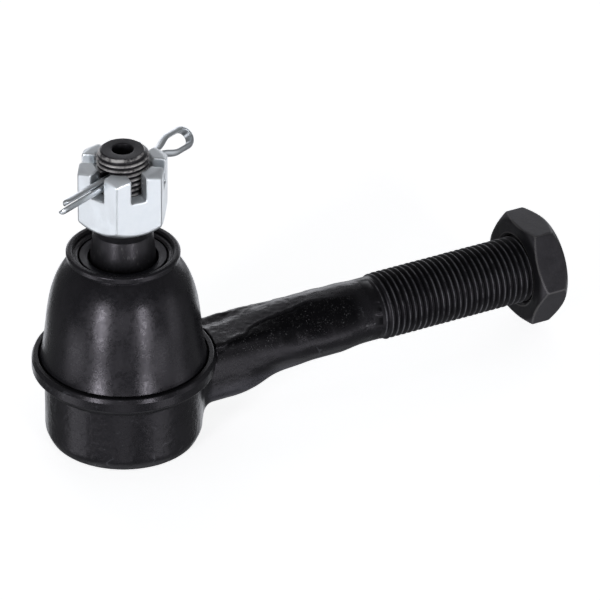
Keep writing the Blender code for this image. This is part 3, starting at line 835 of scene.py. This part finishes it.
def boot_outlines():
    """The boot's closed outline below and above the height where it is divided."""
    bell = bezier((19.0, 21.3), (16.9, 30.0), (18.6, 39.9), (11.4, 46.5), 90)
    inside = bezier((16.7, 22.5), (15.2, 31.0), (16.4, 37.5), (10.2, 43.0), 70)

    def parted(curve):
        below = [p for p in curve if p[1] < BOOT_SPLIT - 0.05]
        above = [p for p in curve if p[1] > BOOT_SPLIT + 0.05]
        a, b = np.array(below[-1]), np.array(above[0])
        middle = tuple(a + (b - a) * (BOOT_SPLIT - a[1]) / (b[1] - a[1]))
        return below + [middle], [middle] + above

    bell_low, bell_high = parted(bell)
    inside_low, inside_high = parted(inside)
    foot = [(16.75, 17.9), (19.0, 17.9), (19.12, 18.0), (19.12, 20.7), (19.2, 21.0)]
    lower = foot + bell_low + inside_low[::-1]
    rim = [(11.75, 46.35)] + fillet([
        (12.3, 46.45, 0.25), (12.95, 47.0, 0.35), (13.0, 48.2, 0.35), (12.5, 48.5, 0.3),
        (11.75, 48.5, 0.3), (11.35, 48.0, 0.25), (11.2, 47.45, 0.2), (10.75, 47.4, 0.25),
        (10.3, 47.05, 0.15), (10.3, 44.9, 0.1), (8.5, 44.9, 0.3), (8.6, 43.2, 0.3)], 4)[1:]
    upper = bell_high[:-2] + rim + inside_high[::-1]
    return lower, upper


def build_boot():
    """Rubber boot in two stacked pieces."""
    lower, upper = boot_outlines()
    for name, outline in (("dust_boot_bell", lower), ("dust_boot_crown", upper)):
        verts, faces = lathe(outline, 192)
        boot = make_object(name, verts, faces, None, "dust_boot", RUBBER)
        clean(boot)
        boot.data.set_sharp_from_angle(angle=math.radians(60.0))
        if outline is lower:
            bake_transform(boot)
        else:
            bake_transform(boot)


def build_neck_ring():
    """Liner between the boot's mouth and the stud."""
    outline = fillet([(8.0, 45.2, 0.15), (10.0, 45.2, 0.15), (10.0, 47.15, 0.25), (8.9, 47.0, 0.4),
                      (8.0, 46.75, 0.3)])
    verts, faces = lathe(outline, 160)
    ring = make_object("boot_neck_ring_liner", verts, faces, "neck_body", "boot_neck_ring",
                       LINER)
    clean(ring)


def build_stud():
    """Ball, taper and threaded end, drilled through for the cotter pin."""
    angle = np.radians(np.linspace(180.0, 35.0, 40))
    ball = [(BALL_R * math.sin(a), BALL_Z + BALL_R * math.cos(a)) for a in angle[1:]]
    lead = [(0.0, BALL_Z - BALL_R)] + ball + [
        (6.2, 24.6), (6.2, 25.5), (6.2, 30.0), (6.4, 32.5), (6.9, 34.6), (7.6, 36.8), (7.88, 38.0),
        (7.9, 38.4), (7.9, 42.3), (7.88, 42.7), (7.45, 47.2), (6.95, 52.0), (6.8, 53.3), (6.72, 53.62),
        (6.5, 53.75), (5.6, 54.2), (5.3, STUD_THREAD_LOW)]

    def radius_at(z, phase):
        full = STUD_R - thread_depth(phase, STUD_PITCH)
        low = 5.3 + (full - 5.3) * smooth_step(z, STUD_THREAD_LOW, 56.2)
        return soft_min(low, 4.75 + (STUD_TOP - z) * 1.15, 0.08)

    tail = [(4.72, STUD_TOP), (4.6, STUD_TOP), (2.75, STUD_TOP), (2.6, STUD_TOP - 0.03),
            (2.5, STUD_TOP - 0.12), (2.44, STUD_TOP - 0.3), (2.44, 71.3), (0.0, 70.4)]
    verts, faces, crest = threaded_bar(lead, STUD_THREAD_LOW, STUD_TOP, STUD_PITCH, radius_at, 96, tail)
    verts = roughen(verts, crest, 0.05, 41)
    stud = make_object("ball_stud_steel", verts, faces, None, "ball_stud", STUD)
    float_attribute(stud, "crest", crest)
    clean(stud)
    turn = (Matrix.Translation((0, 0, PIN_HOLE_Z)) @ Matrix.Rotation(PIN_TURN, 4, "Z")
            @ Matrix.Rotation(math.pi / 2, 4, "Y"))
    hole = [(2.9, -8.0), (2.9, -5.95), (2.3, -5.3), (2.3, 5.3), (2.9, 5.95), (2.9, 8.0)]
    sides = 48
    around = [2 * math.pi * k / sides for k in range(sides)]
    points = [turn @ Vector((r * math.cos(a), r * math.sin(a), h)) for r, h in hole for a in around]
    quads = tube_faces(len(hole), sides)
    cut(stud, points, quads)
    stud.data.shade_smooth()
    stud.data.set_sharp_from_angle(angle=math.radians(42.0))
    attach(stud, "stud_body")


def hexagon_field(u, v, flat_r, turn, k):
    """Six-sided bar with softened corners, one of its flats facing turn."""
    bar = None
    for i in range(6):
        a = turn + i * math.pi / 3
        side = u * math.cos(a) + v * math.sin(a) - flat_r
        bar = side if bar is None else soft_max(bar, side, k)
    return bar


def castle_field(x, y, z):
    """Hexagon with a coned crown and foot, a threaded bore and three slots right across."""
    r = np.hypot(x, y)
    hexagon = hexagon_field(x, y, NUT_FLAT_R, PIN_TURN, 0.3)
    crown = ((r - NUT_CROWN_R) / NUT_CROWN_RUN + (z - NUT_TOP)) / math.hypot(1 / NUT_CROWN_RUN, 1.0)
    foot = ((r - NUT_FOOT_R) * NUT_FOOT_SLOPE - (z - NUT_LOW)) / math.hypot(NUT_FOOT_SLOPE, 1.0)
    body = soft_max(soft_max(hexagon, crown, 0.4), soft_max(z - NUT_TOP, crown, 0.5), 0.3)
    body = soft_max(body, soft_max(foot, NUT_LOW - z, 0.3), 0.5)
    angle = np.arctan2(y, x) / (2 * math.pi)
    thread = 0.22 * np.cos(2 * math.pi * (z / STUD_PITCH - angle))
    mouth = 0.85 * ((NUT_MOUTH_R - r) - np.minimum(z - NUT_LOW, NUT_TOP - z))
    body = soft_max(body, soft_max(NUT_BORE_R + thread - r, mouth, 0.2), 0.2)
    for k in range(3):
        a = PIN_TURN + k * math.pi / 3
        across = np.abs(-x * math.sin(a) + y * math.cos(a))
        slot = soft_max(across - SLOT_HALF, SLOT_FLOOR - z, 0.5)
        body = soft_max(body, -slot, 0.35)
    return body


def build_castle_nut():
    """Zinc plated nut; its edges (rubbed wear and painted highlight) and its upward faces (a painted
    highlight, made less metallic) go to the material.
    """
    verts, faces = skin(castle_field, (-11.2, -11.2, NUT_LOW), (11.2, 11.2, NUT_TOP), 0.2)
    nut = make_object("castle_nut_zinc", verts, faces, "stud_body", "castle_nut", ZINC)
    # Convexity, for edges lightened in the material as rubbed wear and a painted highlight.
    float_attribute(nut, "edge", np.clip(edge_measure(verts, faces) / 0.02, 0, 1))
    x, y, z = np.asarray(verts).T
    # The crown lip and the upward faces are marked to show lighter: a painted highlight.
    lip = smooth_step(z, 69.4, 70.0) * (1.0 - smooth_step(np.abs(castle_field(x, y, z)), 0.2, 0.4))
    up = np.asarray(normals_of(verts, faces))[:, 2]
    upward_painted_light = lip * smooth_step(up, 0.25, 0.6) + smooth_step(up, 0.8, 0.95) * (1.0 - lip)
    float_attribute(nut, "upward_painted_light", upward_painted_light)
    clean(nut)


def build_pin():
    """A half-round wire folded flat side to flat side, with an eye at one end."""
    gap, eye_half, eye_open, eye_end, eye_start = 0.15, 1.6, 18.5, 22.5, 13.0
    upper = [(x, gap) for x in np.linspace(-20.6, eye_start, 40)]
    upper += [(x, gap + (eye_half - gap) * smooth_step(x, eye_start, eye_open))
              for x in np.linspace(eye_start, eye_open, 16)[1:]]
    upper += [(x, eye_half) for x in np.linspace(eye_open, eye_end, 6)[1:-1]]
    bend = [(eye_end + eye_half * math.sin(a), eye_half * math.cos(a))
            for a in np.linspace(0, math.pi, 25)]
    lower = [(x, -y) for x, y in reversed(upper) if x > -20.0]
    lower += [(x, -gap) for x in np.linspace(-20.3, -23.0, 6)]
    path = np.array([(float(x), 0.0, float(y)) for x, y in upper + bend + lower])
    turn = (Matrix.Translation((0, 0, PIN_Z)) @ Matrix.Rotation(PIN_TURN, 4, "Z")
            @ Matrix.Rotation(PIN_TILT, 4, "Y") @ Matrix.Rotation(PIN_ROLL, 4, "X"))
    angle = np.radians(np.linspace(12.0, 168.0, 19))
    section = [(PIN_R * math.cos(a), PIN_R * math.sin(a)) for a in angle]
    section += [(-1.19, 0.12), (-1.1, 0.03), (-1.0, 0.0), (-0.5, 0.0), (0.0, 0.0), (0.5, 0.0),
                (1.0, 0.0), (1.1, 0.03), (1.19, 0.12)]
    length = np.concatenate([[0], np.cumsum(np.linalg.norm(np.diff(path, axis=0), axis=1))])
    ahead, outward = [], []
    for i in range(len(path)):
        step = path[min(i + 1, len(path) - 1)] - path[max(i - 1, 0)]
        ahead.append(step / np.linalg.norm(step))
        outward.append(-np.cross((0.0, 1.0, 0.0), ahead[-1]))
    rounded_end = ((0.0, 0.35), (0.12, 0.62), (0.32, 0.84), (0.6, 0.96))
    made = [(path[0] + ahead[0] * t, outward[0], size) for t, size in rounded_end]
    for i in range(1, len(path) - 1):
        if length[i] > 0.8 and length[-1] - length[i] > 0.8:
            made.append((path[i], outward[i], 1.0))
    made += [(path[-1] - ahead[-1] * t, outward[-1], size) for t, size in reversed(rounded_end)]
    points = []
    for centre, away, size in made:
        for across, out in section:
            height = 0.55 + (out - 0.55) * size
            p = centre + np.array((0.0, 1.0, 0.0)) * across * size + away * height
            points.append(turn @ Vector(p))
    faces = tube_faces(len(made), len(section))
    pin = make_object("cotter_pin_wire", [tuple(p) for p in points], faces, None, "cotter_pin",
                      ZINC)
    float_attribute(pin, "edge", np.zeros(len(points)))
    clean(pin)
    pin.data.set_sharp_from_angle(angle=math.radians(60.0))
    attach(pin, "stud_body")


def jam_field(x, y, z):
    """Hexagon about the shank's axis, coned at both faces, with a countersunk bore."""
    up = z - BALL_Z
    r = np.hypot(y, up)
    hexagon = hexagon_field(-up, y, JAM_FLAT_R, JAM_TURN, 0.25)
    slope = math.tan(math.radians(30.0))
    near_cone = ((r - JAM_NEAR_R) * slope - (x - JAM_NEAR)) * math.cos(math.radians(30.0))
    far_cone = ((x - JAM_FAR) + (r - JAM_FAR_R) * 0.9) / math.hypot(1.0, 0.9)
    body = soft_max(soft_max(hexagon, near_cone, 0.3), far_cone, 0.3)
    body = soft_max(body, soft_max(JAM_NEAR - x, x - JAM_FAR, 0.2), 0.3)
    mouth = 0.7 * ((JAM_MOUTH_R - r) - np.minimum(x - JAM_NEAR, JAM_FAR - x))
    return soft_max(body, soft_max(JAM_BORE_R - r, mouth, 0.15), 0.2)


def build_jam_nut():
    """Black nut at the end of the shank."""
    low, high = (JAM_NEAR, -14.0, BALL_Z - 14.0), (JAM_FAR, 14.0, BALL_Z + 14.0)
    verts, faces = skin(jam_field, low, high, 0.22)
    nut = make_object("jam_nut_hex", verts, faces, "jam_nut_body", "jam_nut", NUT)
    # Convexity, for edges lightened in the material as a painted highlight.
    float_attribute(nut, "edge", np.clip(edge_measure(verts, faces) / 0.02, 0, 1))
    # Near face, marked for painted shade in the material.
    float_attribute(nut, "face", 1.0 - smooth_step(np.asarray(verts)[:, 0], 103.4, 103.9))
    clean(nut)


def dress_inner_pieces():
    """The seats and the spring keep their CAD meshes."""
    inner = (("upper_ball_seat", ACETAL), ("lower_ball_seat", ACETAL), ("preload_spring", SPRING))
    for node, mat in inner:
        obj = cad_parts[node]
        obj.data.materials.clear()
        obj.data.materials.append(mat)


# -------------------------------------------------------------------- studio

VIEW_AZIMUTH = math.radians(28.5)
VIEW_ELEVATION = math.radians(31.36)
VIEW_ROLL = math.radians(0.85)
VIEW_DISTANCE = 1241.98
VIEW_CENTRE = Vector((45.62, 0.0, 22.43))
SENSOR = 36.0
FOCAL = 321.642


def add_camera():
    """A long lens from the photo's side, rolled slightly."""
    ahead = Vector((math.cos(VIEW_ELEVATION) * math.sin(VIEW_AZIMUTH),
                    math.cos(VIEW_ELEVATION) * math.cos(VIEW_AZIMUTH), -math.sin(VIEW_ELEVATION)))
    right = Vector((math.cos(VIEW_AZIMUTH), -math.sin(VIEW_AZIMUTH), 0.0))
    up = right.cross(ahead)
    side = right * math.cos(VIEW_ROLL) + up * math.sin(VIEW_ROLL)
    top = up * math.cos(VIEW_ROLL) - right * math.sin(VIEW_ROLL)
    data = bpy.data.cameras.new("camera")
    data.sensor_width = SENSOR
    data.lens = FOCAL
    data.clip_start, data.clip_end = 0.05, 20.0
    cam = bpy.data.objects.new("camera", data)
    pose = Matrix((side, top, -ahead)).transposed().to_4x4()
    pose.translation = (VIEW_CENTRE - ahead * VIEW_DISTANCE) * MM
    cam.matrix_world = pose
    bpy.context.scene.collection.objects.link(cam)
    bpy.context.scene.camera = cam


# name, azimuth from the camera (+ to its right), elevation, width m, height m, radiance
LIGHTS = [
    ("strip_left", -31.0, 2.0, 0.24, 0.9, 11.0),
    ("strip_right", 31.0, 0.0, 0.2, 0.9, 9.0),
    ("front", 0.0, 5.0, 0.25, 0.6, 1.0),
    ("side_right", 80.0, -5.0, 0.45, 0.9, 0.65),
    ("floor_left", -68.0, -28.0, 0.6, 0.5, 1.3),
    ("floor_right", 54.0, -28.0, 0.5, 0.5, 1.2),
    ("floor_front", 0.0, -32.0, 0.5, 0.4, 0.7),
    ("floor_below", 0.0, -85.0, 1.2, 1.2, 0.32),
    ("floor_back", 180.0, -32.0, 1.6, 0.5, 1.0),
    ("backdrop", 180.0, 5.0, 1.8, 0.7, 1.4),
    ("backdrop_high", 190.0, 38.0, 0.8, 0.35, 0.4),
    ("high_left", -150.0, 45.0, 0.3, 0.3, 0.8),
]
LIGHT_DISTANCE = 1.3


def add_lights():
    """Panels round the part, all aimed at it and unseen by the camera."""
    target = Vector((0.03, 0.0, 0.03))
    for name, azimuth, elevation, width, height, radiance in LIGHTS:
        turn = VIEW_AZIMUTH + math.pi - math.radians(azimuth)
        a = math.radians(elevation)
        away = Vector((math.cos(a) * math.sin(turn), math.cos(a) * math.cos(turn), math.sin(a)))
        data = bpy.data.lights.new(name, "AREA")
        data.shape = "RECTANGLE"
        data.size, data.size_y = width, height
        data.energy = radiance * math.pi * width * height
        data.color = (0.98, 1.0, 1.05)
        lamp = bpy.data.objects.new(name, data)
        lamp.location = target + away * LIGHT_DISTANCE
        lamp.rotation_mode = "QUATERNION"
        lamp.rotation_quaternion = away.to_track_quat("Z", "Y")
        lamp.visible_camera = False
        bpy.context.scene.collection.objects.link(lamp)


def add_world():
    """White to the camera, and a dim fill to everything else."""
    world = bpy.data.worlds.new("studio")
    world.use_nodes = True
    nodes, links = world.node_tree.nodes, world.node_tree.links
    out = nodes["World Output"]
    white = nodes["Background"]
    white.inputs["Color"].default_value = (1.0, 1.0, 1.0, 1.0)
    white.inputs["Strength"].default_value = 1.0
    fill = nodes.new("ShaderNodeBackground")
    fill.name = "fill"
    fill.inputs["Color"].default_value = (0.95, 0.97, 1.0, 1.0)
    fill.inputs["Strength"].default_value = 0.15
    rays = nodes.new("ShaderNodeLightPath")
    mix = nodes.new("ShaderNodeMixShader")
    links.new(rays.outputs["Is Camera Ray"], mix.inputs[0])
    links.new(fill.outputs[0], mix.inputs[1])
    links.new(white.outputs[0], mix.inputs[2])
    links.new(mix.outputs[0], out.inputs["Surface"])
    bpy.context.scene.world = world
    bpy.context.scene.view_settings.view_transform = "Standard"


def add_floor():
    """White sheet just under the housing, for the part's shadow only."""
    mesh = bpy.data.meshes.new("floor")
    s, z = 3.0, -0.0002
    mesh.from_pydata([(-s, -s, z), (s, -s, z), (s, s, z), (-s, s, z)], [], [(0, 1, 2, 3)])
    floor = bpy.data.objects.new("floor", mesh)
    mat = bpy.data.materials.new("floor_white")
    mat.use_nodes = True
    nodes = mat.node_tree.nodes
    shader = nodes["Principled BSDF"]
    shader.inputs["Base Color"].default_value = (0.9, 0.9, 0.9, 1.0)
    shader.inputs["Roughness"].default_value = 0.9
    shader.inputs["Specular IOR Level"].default_value = 0.0
    shader.inputs["Emission Color"].default_value = (1.0, 1.0, 1.0, 1.0)
    shader.inputs["Emission Strength"].default_value = 0.8
    mesh.materials.append(mat)
    bpy.context.scene.collection.objects.link(floor)
    floor.visible_glossy = False
    floor.visible_diffuse = False
    floor.visible_shadow = False


build_housing()
build_cover()
build_ring()
build_boot()
build_neck_ring()
build_stud()
build_castle_nut()
build_pin()
build_jam_nut()
dress_inner_pieces()
add_camera()
add_lights()
add_world()
add_floor()
